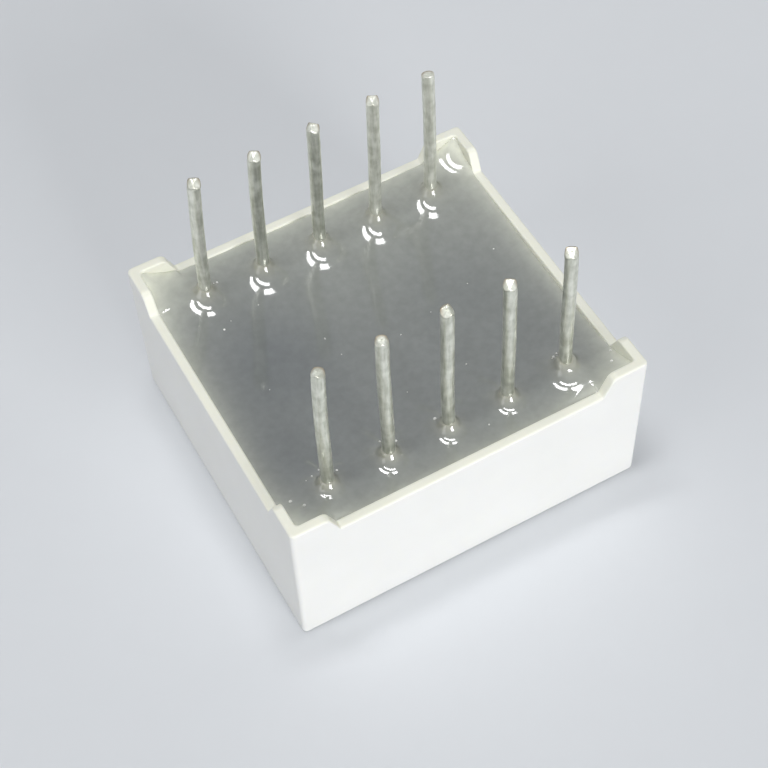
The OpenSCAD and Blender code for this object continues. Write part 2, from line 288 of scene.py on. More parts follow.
@dataclass(frozen=True)
class MouldedWhite(Finish):
    """Polycarbonate whitened with titanium oxide and injection moulded in a fine matt tool.

    The white is warm and dense. Light passes a little way through the thin rim and the
    posts, which turns them ivory where the attribute "rim" rises. The display face carries
    a printed coat of matt black ink round the segments.
    """

    name: str = "white_polycarbonate"
    body: str = "#efefec"
    rim: str = "#f4f4e6"
    ink: str = "#17181a"
    # The print stays in from the face's edge, and lies level with the face
    ink_edge_mm: float = 0.12
    ink_level_mm: float = 0.012
    # A fine tool leaves a grain of about 0.02 mm, which is drawn as coarse as it needs to show
    grain_mm: float = 0.06
    relief_mm: float = 0.006
    cloud_mm: float = 2.4

    def build(self, half: np.ndarray) -> bpy.types.Material:
        """Makes the material.

        Args:
            half: Half the width and depth of the display face.

        Returns:
            The new material.
        """
        material, tree, place = self.start()
        cloud = add_node(tree, "TexNoise", {"Scale": 1 / (self.cloud_mm * MM)}, {"Vector": place})
        faint = {"From Min": 0.3, "From Max": 0.7, "To Min": 0.975}
        tone = add_node(tree, "MapRange", faint, {"Value": cloud.outputs[0]})
        ivory = add_node(tree, "Attribute", {"attribute_name": "rim"})
        whites = {**BLEND, MIX_A: linear(self.body), MIX_B: linear(self.rim)}
        plastic = add_node(tree, "Mix", whites, {0: ivory.outputs["Fac"]})
        toned = add_node(tree, "Mix", TINT, {MIX_A: plastic.outputs[MIX_OUT], MIX_B: tone.outputs[0]})
        mask = self.ink_mask(tree, place, half - self.ink_edge_mm)
        black = {**BLEND, MIX_B: linear(self.ink)}
        colour = add_node(tree, "Mix", black, {0: mask, MIX_A: toned.outputs[MIX_OUT]})
        fine = {"Scale": 1 / (self.grain_mm * MM), "Detail": 3.0}
        grain = add_node(tree, "TexNoise", fine, {"Vector": place})
        relief = {"Strength": 0.12, "Distance": self.relief_mm * MM}
        bump = add_node(tree, "Bump", relief, {"Height": grain.outputs[0]})
        satin = {"To Min": 0.42, "To Max": 0.55}
        gloss = add_node(tree, "MapRange", satin, {"Value": cloud.outputs[0]})
        shader = add_node(
            tree,
            "BsdfPrincipled",
            {
                "IOR": 1.58,
                "Subsurface Weight": 0.12,
                "Subsurface Radius": (1.0, 0.9, 0.6),
                "Subsurface Scale": 0.35 * MM,
            },
            {
                "Base Color": colour.outputs[MIX_OUT],
                "Roughness": gloss.outputs[0],
                "Normal": bump.outputs[0],
            },
        )
        add_node(tree, "OutputMaterial", links={"Surface": shader.outputs[0]})
        return material

    def ink_mask(
        self, tree: bpy.types.NodeTree, place: bpy.types.NodeSocket, half: np.ndarray
    ) -> bpy.types.NodeSocket:
        """Adds the mask of the print, a product of one test along each axis.

        Args:
            tree: The material's nodes.
            place: The socket of the object's coordinates.
            half: Half the width and depth of the print.

        Returns:
            A socket that gives 1 on the print.
        """
        away = add_node(tree, "VectorMath", {"operation": "ABSOLUTE"}, {0: place})
        split = add_node(tree, "SeparateXYZ", links={0: away.outputs[0]})
        so_far = {}
        for axis, limit in zip("XYZ", (*half, self.ink_level_mm)):
            near = {"operation": "LESS_THAN", 1: limit * MM}
            inside = add_node(tree, "Math", near, {0: split.outputs[axis]})
            both = {0: inside.outputs[0], **so_far}
            mask = add_node(tree, "Math", {"operation": "MULTIPLY", 1: 1.0}, both)
            so_far = {1: mask.outputs[0]}
        return mask.outputs[0]


@dataclass(frozen=True)
class PottingEpoxy(Finish):
    """Two-part epoxy, diffused with a little white filler and poured in from the back.

    It sets glossy and cloudy. Over the dark board it looks mid grey, and where it thins
    against the white walls it turns paler and a little green-yellow. Round each pin it is
    drawn towards a paler tint, partly the tin that shows through and partly painted light
    that fills the shade on the steep collar.
    """

    name: str = "cloudy_potting_epoxy"
    deep: str = "#61666a"
    pale: str = "#676c6e"
    shallow: str = "#dadccd"
    # paler tint round the pins' feet: partly the tin through thin resin, partly painted light on the
    # shaded collar
    foot: str = "#b3b2a0"
    # white of the set bubbles, which stands partly for their pale skin and partly for a painted glint
    bubble: str = "#f4f4ee"
    cloud_mm: float = 5.0
    # The filler is a powder, whose clumps are drawn as coarse as they need to show
    fleck_mm: float = 0.35

    def build(self) -> bpy.types.Material:
        """Makes the material.

        Returns:
            The new material.
        """
        material, tree, place = self.start()
        wide = {"Scale": 1 / (self.cloud_mm * MM), "Detail": 3.0}
        cloud = add_node(tree, "TexNoise", wide, {"Vector": place})
        drift = add_node(
            tree, "MapRange", {"From Min": 0.35, "From Max": 0.65}, {"Value": cloud.outputs[0]}
        )
        greys = {**BLEND, MIX_A: linear(self.deep), MIX_B: linear(self.pale)}
        colour = add_node(tree, "Mix", greys, {0: drift.outputs[0]})
        # each attribute of the mesh draws the colour so far towards its own
        towards = {"thin": self.shallow, "foot": self.foot, "bubble": self.bubble}
        for attribute, tint in towards.items():
            share = add_node(tree, "Attribute", {"attribute_name": attribute})
            links = {0: share.outputs["Fac"], MIX_A: colour.outputs[MIX_OUT]}
            colour = add_node(tree, "Mix", {**BLEND, MIX_B: linear(tint)}, links)
        small = {"Scale": 1 / (self.fleck_mm * MM), "Detail": 2.0}
        fleck = add_node(tree, "TexNoise", small, {"Vector": place})
        faint = {"From Min": 0.3, "From Max": 0.7, "To Min": 0.94, "To Max": 1.06}
        speck = add_node(tree, "MapRange", faint, {"Value": fleck.outputs[0]})
        links = {MIX_A: colour.outputs[MIX_OUT], MIX_B: speck.outputs[0]}
        colour = add_node(tree, "Mix", TINT, links)
        shader = add_node(
            tree,
            "BsdfPrincipled",
            {
                "Roughness": 0.06,
                "IOR": 1.58,
                "Specular IOR Level": 0.75,
                "Subsurface Weight": 0.2,
                "Subsurface Radius": (1.0, 1.0, 0.8),
                "Subsurface Scale": 0.4 * MM,
            },
            {"Base Color": colour.outputs[MIX_OUT]},
        )
        add_node(tree, "OutputMaterial", links={"Surface": shader.outputs[0]})
        return material


@dataclass(frozen=True)
class TinnedSteel(Finish):
    """Drawn steel wire, copper flashed and hot dipped in tin, then sheared to length.

    The tin is dull and a little streaky along the wire, and matt where the attribute
    "matt" says that it lies thick. Where "cut" rises, the sheared end shows the brown flash
    and the bare core.
    """

    name: str = "tinned_steel_wire"
    bright: str = "#eff0e6"
    dull: str = "#c8cabc"
    cut: str = "#a0937e"
    # Width and length of a streak, which is drawn as coarse as it needs to show
    streak_mm: float = 0.1
    along_mm: float = 0.9
    patch_mm: float = 0.4
    relief_mm: float = 0.006

    def build(self) -> bpy.types.Material:
        """Makes the material.

        Returns:
            The new material.
        """
        material, tree, place = self.start()
        longer = {"Scale": (1.0, 1.0, self.streak_mm / self.along_mm)}
        stretch = add_node(tree, "Mapping", longer, {"Vector": place})
        thin = {"Scale": 1 / (self.streak_mm * MM), "Detail": 3.0}
        streak = add_node(tree, "TexNoise", thin, {"Vector": stretch.outputs[0]})
        wide = {"Scale": 1 / (self.patch_mm * MM), "Detail": 3.0}
        patch = add_node(tree, "TexNoise", wide, {"Vector": place})
        both = {0: streak.outputs[0], 1: patch.outputs[0]}
        mixed = add_node(tree, "Math", {"operation": "ADD"}, both)
        contrast = {"From Min": 0.75, "From Max": 1.25}
        share = add_node(tree, "MapRange", contrast, {"Value": mixed.outputs[0]})
        tins = {**BLEND, MIX_A: linear(self.dull), MIX_B: linear(self.bright)}
        tin = add_node(tree, "Mix", tins, {0: share.outputs[0]})
        cut = add_node(tree, "Attribute", {"attribute_name": "cut"})
        links = {0: cut.outputs["Fac"], MIX_A: tin.outputs[MIX_OUT]}
        colour = add_node(tree, "Mix", {**BLEND, MIX_B: linear(self.cut)}, links)
        satin = {"To Min": 0.3, "To Max": 0.52}
        gloss = add_node(tree, "MapRange", satin, {"Value": patch.outputs[0]})
        matt = add_node(tree, "Attribute", {"attribute_name": "matt"})
        rest = {"operation": "SUBTRACT", 0: 1.0}
        metal = add_node(tree, "Math", rest, {1: matt.outputs["Fac"]})
        relief = {"Strength": 0.3, "Distance": self.relief_mm * MM}
        bump = add_node(tree, "Bump", relief, {"Height": streak.outputs[0]})
        links = {
            "Base Color": colour.outputs[MIX_OUT],
            "Roughness": gloss.outputs[0],
            "Metallic": metal.outputs[0],
            "Normal": bump.outputs[0],
        }
        shader = add_node(tree, "BsdfPrincipled", links=links)
        add_node(tree, "OutputMaterial", links={"Surface": shader.outputs[0]})
        return material


@dataclass(frozen=True)
class MilkyResin(Finish):
    """Epoxy filled with glass powder, cast in the light wells so that it diffuses the light.

    Unlit, it is a cool milky white with a satin face.
    """

    name: str = "milky_diffuser_epoxy"
    body: str = "#e4e8e6"
    # The powder is finer than this, and is drawn as coarse as it needs to show
    grain_mm: float = 0.08

    def build(self) -> bpy.types.Material:
        """Makes the material.

        Returns:
            The new material.
        """
        material, tree, place = self.start()
        grain = add_node(tree, "TexNoise", {"Scale": 1 / (self.grain_mm * MM)}, {"Vector": place})
        faint = {"From Min": 0.3, "From Max": 0.7, "To Min": 0.94}
        tone = add_node(tree, "MapRange", faint, {"Value": grain.outputs[0]})
        milk = {**TINT, MIX_A: linear(self.body)}
        colour = add_node(tree, "Mix", milk, {MIX_B: tone.outputs[0]})
        shader = add_node(
            tree,
            "BsdfPrincipled",
            {
                "Roughness": 0.34,
                "IOR": 1.55,
                "Subsurface Weight": 0.5,
                "Subsurface Radius": (1.0, 1.0, 0.95),
                "Subsurface Scale": 0.5 * MM,
            },
            {"Base Color": colour.outputs[MIX_OUT]},
        )
        add_node(tree, "OutputMaterial", links={"Surface": shader.outputs[0]})
        return material


@dataclass(frozen=True)
class PlainMetal(Finish):
    """A metal of one colour whose surface is slightly uneven, such as plating or solder.

    It mirrors softly, a little darker in its hollows. The size of the unevenness is drawn as
    coarse as it needs to show.
    """

    body: str
    shade: str
    roughness: float
    lump_mm: float
    relief_mm: float

    def build(self) -> bpy.types.Material:
        """Makes the material.

        Returns:
            The new material.
        """
        material, tree, place = self.start()
        uneven = {"Scale": 1 / (self.lump_mm * MM), "Detail": 3.0}
        lump = add_node(tree, "TexNoise", uneven, {"Vector": place})
        tones = {**BLEND, MIX_A: linear(self.shade), MIX_B: linear(self.body)}
        colour = add_node(tree, "Mix", tones, {0: lump.outputs[0]})
        relief = {"Strength": 0.4, "Distance": self.relief_mm * MM}
        bump = add_node(tree, "Bump", relief, {"Height": lump.outputs[0]})
        metal = {"Metallic": 1.0, "Roughness": self.roughness}
        links = {"Base Color": colour.outputs[MIX_OUT], "Normal": bump.outputs[0]}
        shader = add_node(tree, "BsdfPrincipled", metal, links)
        add_node(tree, "OutputMaterial", links={"Surface": shader.outputs[0]})
        return material


@dataclass(frozen=True)
class Laminate(Finish):
    """Glass cloth and epoxy pressed into a board, green and glossy, with its weave showing."""

    name: str = "glass_epoxy_board"
    warp: str = "#5f7a52"
    weft: str = "#4c6944"
    thread_mm: float = 0.45
    relief_mm: float = 0.01

    def build(self) -> bpy.types.Material:
        """Makes the material.

        Returns:
            The new material.
        """
        material, tree, place = self.start()
        threads = {"Scale": 1 / (self.thread_mm * MM), 1: linear(self.warp), 2: linear(self.weft)}
        weave = add_node(tree, "TexChecker", threads, {"Vector": place})
        relief = {"Strength": 0.2, "Distance": self.relief_mm * MM}
        bump = add_node(tree, "Bump", relief, {"Height": weave.outputs["Fac"]})
        links = {"Base Color": weave.outputs["Color"], "Normal": bump.outputs[0]}
        shader = add_node(tree, "BsdfPrincipled", {"Roughness": 0.4, "IOR": 1.55}, links)
        add_node(tree, "OutputMaterial", links={"Surface": shader.outputs[0]})
        return material


@dataclass(frozen=True)
class DieCrystal(Finish):
    """Gallium compound crystal, sawn to a cube, dark red and glassy."""

    name: str = "gallium_die"
    body: str = "#5b1714"
    edge: str = "#7c241d"
    # Saw marks are finer, and are drawn as coarse as they need to show
    saw_mm: float = 0.05

    def build(self) -> bpy.types.Material:
        """Makes the material.

        Returns:
            The new material.
        """
        material, tree, place = self.start()
        saw = add_node(tree, "TexNoise", {"Scale": 1 / (self.saw_mm * MM)}, {"Vector": place})
        reds = {**BLEND, MIX_A: linear(self.body), MIX_B: linear(self.edge)}
        colour = add_node(tree, "Mix", reds, {0: saw.outputs[0]})
        links = {"Base Color": colour.outputs[MIX_OUT]}
        shader = add_node(tree, "BsdfPrincipled", {"Roughness": 0.25, "IOR": 2.2}, links)
        add_node(tree, "OutputMaterial", links={"Surface": shader.outputs[0]})
        return material


@dataclass(frozen=True)
class StudioPaper(Finish):
    """Pale seamless paper. Its underside lets light and view through, to show the face."""

    name: str = "studio_paper"
    body: str = "#dfe2e6"
    fibre_mm: float = 1.5

    def build(self) -> bpy.types.Material:
        """Makes the material.

        Returns:
            The new material.
        """
        material, tree, place = self.start()
        fibres = {"Scale": 1 / (self.fibre_mm * MM), "Detail": 3.0}
        fibre = add_node(tree, "TexNoise", fibres, {"Vector": place})
        tone = add_node(tree, "MapRange", {"To Min": 0.985}, {"Value": fibre.outputs[0]})
        white = {**TINT, MIX_A: linear(self.body)}
        colour = add_node(tree, "Mix", white, {MIX_B: tone.outputs[0]})
        links = {"Base Color": colour.outputs[MIX_OUT]}
        paper = add_node(tree, "BsdfPrincipled", {"Roughness": 0.9}, links)
        side = add_node(tree, "NewGeometry").outputs["Backfacing"]
        clear = add_node(tree, "BsdfTransparent")
        links = {0: side, 1: paper.outputs[0], 2: clear.outputs[0]}
        mix = add_node(tree, "MixShader", links=links)
        add_node(tree, "OutputMaterial", links={"Surface": mix.outputs[0]})
        return material


# ------------------------------------------------------------------ the object


@dataclass(frozen=True)
class Body:
    """Sizes that more than one piece needs.

    They are those of the part's source, apart from the cavity's sharper upright corners.
    """

    width: float = 15.0
    depth: float = 14.0
    wall_height: float = 6.3
    wall: float = 0.4
    block: float = 3.8
    corner: float = 0.2
    inner_corner: float = 0.15
    face_edge: float = 0.15
    post_top: float = 7.2
    post_flat: float = 1.3
    post_round: float = 0.35
    post_angle: float = 65.0
    post_foot_soft: float = 0.03
    board_back: float = 4.835
    pin_radius: float = 0.25
    pin_pitch: float = 2.54
    row_pitch: float = 10.16
    pins_a_row: int = 5
    tip: float = 13.2
    tail: float = 3.45

    @property
    def half(self) -> np.ndarray:
        """Half the body's width and depth."""
        return np.array([self.width, self.depth]) / 2

    @property
    def cavity(self) -> np.ndarray:
        """Half the cavity's width and depth."""
        return self.half - self.wall

    def pin_places(self) -> np.ndarray:
        """Places of the pins: the near row from right to left, then the far row back.

        Returns:
            One row of x and y for each pin, from pin 1 to pin 10.
        """
        along = ((self.pins_a_row - 1) / 2 - np.arange(self.pins_a_row)) * self.pin_pitch
        near = np.column_stack([along, np.full(self.pins_a_row, -self.row_pitch / 2)])
        return np.concatenate([near, near[::-1] * [1, -1]])

    def rim_height(self, gap: np.ndarray) -> np.ndarray:
        """Height of the rim at a distance from the body's corner, along the wall.

        The post is flat, then follows an arc that is tangent to its slope, then the slope
        down to the wall. The foot of the slope is smoothed.

        Args:
            gap: Distance from the corner along the wall.

        Returns:
            Height of the rim.
        """
        angle = math.radians(self.post_angle)
        r = self.post_round
        past = gap - self.post_flat
        arc_end = r * math.sin(angle)
        arc = self.post_top - r + np.sqrt(np.maximum(r * r - np.clip(past, 0, arc_end) ** 2, 0))
        slope = arc - np.maximum(past - arc_end, 0) * math.tan(angle)
        over = (slope - self.wall_height) / self.post_foot_soft
        return self.wall_height + self.post_foot_soft * np.logaddexp(0, over)


class Corner(Enum):
    """The body's corners, counted anticlockwise from the near right one, seen from above."""

    NEAR_RIGHT = (1, -1)
    FAR_RIGHT = (1, 1)
    FAR_LEFT = (-1, 1)
    NEAR_LEFT = (-1, -1)


class LightKind(Enum):
    """The lights of one digit."""

    A = "a"
    B = "b"
    C = "c"
    D = "d"
    E = "e"
    F = "f"
    G = "g"
    POINT = "point"


@dataclass(frozen=True)
class DigitLayout:
    """Outlines of the light wells, as the part's source gives them."""

    height: float = 9.14
    width: float = 4.7
    pitch: float = 7.2
    stroke: float = 0.9
    gap: float = 0.25
    slant: float = 10.0
    point: float = 1.0
    point_gap: float = 0.35
    lip: float = 0.5
    floor_length: float = 1.5
    floor_width: float = 0.6
    point_floor: float = 0.8
    edge_samples: int = 4
    point_samples: int = 48
    # Rings of a well past its straight lip
    steps: int = 6

    @property
    def mitre(self) -> float:
        """Shift along a 45 degree joint that parts two segments by the gap."""
        return self.gap / math.sqrt(2)

    @property
    def lean(self) -> float:
        """Shift across for each millimetre up, which slants the digits."""
        return math.tan(math.radians(self.slant))

    def corners(self, kind: LightKind) -> np.ndarray:
        """Corners of one segment before the slant, anticlockwise as read from the front.

        Args:
            kind: Which segment.

        Returns:
            One row of x and y for each corner.
        """
        w, h, s, g, m = self.width / 2, self.height / 2, self.stroke, self.gap, self.mitre
        if kind is LightKind.G:
            x, y = w - s / 2 - m, s / 2
            return np.array([[x, 0], [x - y, y], [y - x, y], [-x, 0], [y - x, -y], [x - y, -y]])
        top = np.array([[w - m, h], [m - w, h], [m - w + s, h - s], [w - m - s, h - s]])
        inner = [[w - s, h - s - m], [w - s, s / 2 + m], [w - s / 2 + m - g / 2, g / 2]]
        upright = np.array([[w, g / 2], [w, h - m], *inner])
        flips = {
            LightKind.A: (top, 1, 1),
            LightKind.D: (top, 1, -1),
            LightKind.B: (upright, 1, 1),
            LightKind.C: (upright, 1, -1),
            LightKind.E: (upright, -1, -1),
            LightKind.F: (upright, -1, 1),
        }
        outline, across, up = flips[kind]
        return outline[:: across * up] * [across, up]

    def middle(self, kind: LightKind) -> np.ndarray:
        """Middle of a light before the slant.

        Args:
            kind: Which light.

        Returns:
            Its x and y, as read from the front.
        """
        x, y = (self.width - self.stroke) / 2, (self.height - self.stroke) / 2
        h = self.height / 4
        point_x = self.width / 2 + self.point_gap + self.point / 2
        places = {
            LightKind.A: (0, y),
            LightKind.D: (0, -y),
            LightKind.G: (0, 0),
            LightKind.B: (x, h),
            LightKind.C: (x, -h),
            LightKind.E: (-x, -h),
            LightKind.F: (-x, h),
            LightKind.POINT: (point_x, (self.point - self.height) / 2),
        }
        return np.array(places[kind])

    def ends(self, kind: LightKind) -> tuple[np.ndarray, np.ndarray]:
        """Outlines of one segment's well at the face and at the board, before the slant.

        The outline at the board is an oval. Each of its points lies on the line from the
        middle to a point at the face, with both axes scaled to the well's half-sizes.

        Args:
            kind: Which segment.

        Returns:
            Both outlines, point by point.
        """
        corners, middle = self.corners(kind), self.middle(kind)
        share = np.arange(self.edge_samples)[None, :, None] / self.edge_samples
        after = np.roll(corners, -1, 0)
        face = (corners[:, None] * (1 - share) + after[:, None] * share).reshape(-1, 2)
        half = np.array([self.width / 2 - self.mitre, self.stroke / 2])
        size = np.array([self.floor_length, self.floor_width]) / 2
        if kind in (LightKind.B, LightKind.C, LightKind.E, LightKind.F):
            half = np.array([self.stroke / 2, self.height / 4 - self.mitre])
            size = size[::-1]
        reach = (face - middle) / half
        return face, middle + size * reach / np.linalg.norm(reach, axis=1, keepdims=True)

    def rings(self, kind: LightKind, side: int, block: float) -> np.ndarray:
        """Rings of one well from the face to the board, in the part's frame.

        Past a straight lip, each point moves from the outline at the face to the outline at
        the board. The point's wall is a cone. A segment's is a parabola: its distance from
        the board's outline grows with the root of its height above the board.

        Args:
            kind: Which light.
            side: -1 for the left digit and 1 for the right one.
            block: Height of the block that the wells pierce.

        Returns:
            Points by ring, spot and axis, anticlockwise seen from above.
        """
        shares = np.linspace(0, 1, self.steps + 1)
        if kind is LightKind.POINT:
            # the point stands upright, so only its middle is slanted
            middle = self.middle(kind)
            middle = middle + [middle[1] * self.lean, 0]
            outline = circle(self.point_samples) / 2
            face, floor = middle + outline * self.point, middle + outline * self.point_floor
            heights = self.lip + (block - self.lip) * shares
        else:
            slant = np.array([[1, 0], [self.lean, 1]])
            face, floor = (outline @ slant for outline in self.ends(kind))
            heights = block - (1 - shares) ** 2 * (block - self.lip)
        share = np.array([0, *shares])[:, None, None]
        flat = face * (1 - share) + floor * share
        flat[..., 0] += side * self.pitch / 2
        flat[..., 0] *= -1  # the part is seen from behind, so its x is the reader's turned
        z = np.broadcast_to(np.array([0, *heights])[:, None, None], (*flat.shape[:2], 1))
        return np.concatenate([flat, z], -1)[:, ::-1]


@dataclass
class ReflectorHousing:
    """The white moulded body: wells at the face, a cavity behind, and a post at each corner."""

    body: Body = field(default_factory=Body)
    layout: DigitLayout = field(default_factory=DigitLayout)
    rim_outer: float = 0.09
    rim_inner: float = 0.07
    # Distance of the rings beside each edge, which keep its shading tight
    support: float = 0.02
    rim_shares: tuple[float, ...] = (0.12, 0.5, 0.88)
    pocket_radius: float = 0.5
    pocket_floor: float = 3.3
    # Stretches along a wall that are sampled finely: the post's slope, and its start on the flat
    slope_span: float = 1.0
    slope_lead: float = 0.1
    # Share of the cavity's corner that goes with each straight beside the outer arc
    lead_share: float = 0.27
    # Numbers of samples round the body, and up it
    wall_samples: int = 13
    slope_samples: int = 30
    flat_samples: int = 4
    straight_samples: int = 5
    corner_samples: int = 9
    arc_steps: int = 6
    wall_rows: int = 5
    pocket_samples: int = 32

    def path(self) -> tuple[np.ndarray, ...]:
        """Walks anticlockwise round the body's outline and the cavity's, side by side.

        Straight stretches share their coordinate along the wall. At a corner the outer
        point passes a short straight, the outer arc and a second straight, while the inner
        one turns round the cavity's arc.

        Returns:
            Outer points, outer normals, cavity points, cavity normals and rim heights.
        """
        b = self.body
        middle = np.linspace(-1, 1, self.wall_samples)
        parts = []
        for corner in Corner:
            sign = np.array(corner.value, float)
            # the wall that leads to this corner runs along the axis that is free on it
            axis = 0 if sign[0] == -sign[1] else 1
            other = 1 - axis
            post = b.half[axis] - b.post_flat
            low, high = post - self.slope_span, post + self.slope_lead
            slope = np.linspace(low, high, self.slope_samples)
            flat = np.linspace(high, b.cavity[axis] - b.inner_corner, self.flat_samples)
            stretch = np.concatenate([middle * low, slope[1:], flat[1:]])
            stretch = np.unique(np.concatenate([-stretch, stretch]))[:-1] * sign[axis]
            points = np.zeros((2, len(stretch), 2))
            points[:, :, axis] = stretch
            points[0, :, other] = sign[other] * b.half[other]
            points[1, :, other] = sign[other] * b.cavity[other]
            normal = np.zeros((len(stretch), 2))
            normal[:, other] = sign[other]
            height = b.rim_height(b.half[axis] - np.abs(stretch))
            parts.append((points[0], normal, points[1], normal, height))
            parts.append(self.turn(sign, axis))
        return tuple(np.concatenate(arrays) for arrays in zip(*parts))

    def turn(self, sign: np.ndarray, axis: int) -> tuple[np.ndarray, ...]:
        """One corner of the path.

        Args:
            sign: Which corner.
            axis: The axis of the wall that leads to it.

        Returns:
            The same five arrays as path, for the corner only.
        """
        b = self.body
        first, second = np.zeros(2), np.zeros(2)
        first[1 - axis] = sign[1 - axis]
        second[axis] = sign[axis]
        start_angle = math.atan2(first[1], first[0])
        run = b.wall + b.inner_corner - b.corner
        centre_out = sign * (b.half - b.corner)
        centre_in = sign * (b.cavity - b.inner_corner)
        before = np.linspace(0, 1, self.straight_samples)
        arc = np.linspace(0, 1, self.corner_samples)
        turned = start_angle + arc * math.pi / 2
        round_normal = np.column_stack([np.cos(turned), np.sin(turned)])
        outer = [
            centre_out + first * b.corner - second * run * (1 - before[:-1, None]),
            centre_out + round_normal * b.corner,
            centre_out + second * b.corner - first * run * before[1:, None],
        ]
        straights = len(before) - 1
        normals = [np.repeat([first], straights, 0), round_normal, np.repeat([second], straights, 0)]
        lead = self.lead_share
        shares = [lead * before[:-1], lead + (1 - 2 * lead) * arc, 1 - lead + lead * before[1:]]
        angles = start_angle + np.concatenate(shares) * math.pi / 2
        inward = np.column_stack([np.cos(angles), np.sin(angles)])
        inner = centre_in + inward * b.inner_corner
        height = np.full(len(inner), b.post_top)
        return np.concatenate(outer), np.concatenate(normals), inner, inward, height

    def skin(self, surface: Surface) -> tuple[np.ndarray, np.ndarray]:
        """Adds the skin that runs from the face's edge over the rim and down the cavity.

        Across the wall the profile is a quarter circle at the face, the wall, a quarter
        circle, the rim, a smaller quarter circle and the cavity's wall.

        Args:
            surface: What the patch is added to.

        Returns:
            Outlines of the face plate and of the cavity's floor.
        """
        b = self.body
        outer, out_normal, inner, in_normal, top = self.path()
        quarter = np.linspace(0, math.pi / 2, self.arc_steps + 1)
        upward = np.linspace(0, 1, self.wall_rows)
        rings, ivory = [], []

        def ring(flat: np.ndarray, z: np.ndarray | float, share: float) -> None:
            """Adds one ring of the profile, with how ivory it is."""
            rings.append(np.column_stack([flat, np.broadcast_to(z, len(flat))]))
            ivory.append(np.full(len(flat), share))

        r = b.face_edge
        for a in quarter:
            ring(outer + out_normal * r * (math.sin(a) - 1), r * (1 - math.cos(a)), 0.0)
        low, high = b.face_edge + self.support, top - self.rim_outer - self.support
        for share in upward:
            ring(outer, low * (1 - share) + high * share, 0.0)
        r = self.rim_outer
        for a in quarter:
            flat = outer + out_normal * r * (math.cos(a) - 1)
            ring(flat, top - r * (1 - math.sin(a)), math.sin(a))
        start, end = outer - out_normal * self.rim_outer, inner + in_normal * self.rim_inner
        for share in self.rim_shares:
            ring(start * (1 - share) + end * share, top, 1.0)
        r = self.rim_inner
        for a in quarter:
            ring(inner + in_normal * r * (1 - math.sin(a)), top - r * (1 - math.cos(a)), 1.0)
        high = top - self.rim_inner - self.support
        for share in upward:
            ring(inner, high * (1 - share) + (b.block + self.support) * share, 1.0)
        ring(inner, b.block, 1.0)
        faces = ring_faces(len(rings), len(outer))
        surface.add(np.concatenate(rings), faces, rim=np.concatenate(ivory))
        return rings[0][:, :2], rings[-1][:, :2]

    def build(self) -> bpy.types.Object:
        """Makes the housing in place of its CAD node and dresses it.

        Returns:
            The housing's object.
        """
        block = self.body.block
        surface = Surface()
        face, floor = self.skin(surface)
        mouths, floors = [], []
        for side in (-1, 1):
            for kind in LightKind:
                rings = self.layout.rings(kind, side, block)
                faces = ring_faces(*rings.shape[:2], flip=True)
                surface.add(rings.reshape(-1, 3), faces)
                mouths.append(rings[0][:, :2])
                floors.append(rings[-1][:, :2])
        pocket = circle(self.pocket_samples) * self.pocket_radius
        for place in self.body.pin_places():
            ring = place + pocket
            levels = [np.column_stack([ring, np.full(len(ring), z)]) for z in (block, self.pocket_floor)]
            surface.add(np.concatenate(levels), ring_faces(2, len(ring)))
            surface.add_flat(ring, [], self.pocket_floor, up=True)
            floors.append(ring)
        surface.add_flat(face, mouths, 0.0, up=False)
        surface.add_flat(floor, floors, block, up=True)
        piece = surface.build("housing", crease=40)
        piece.data.materials.append(MouldedWhite().build(self.body.half))
        return settle(piece, "reflector_housing")


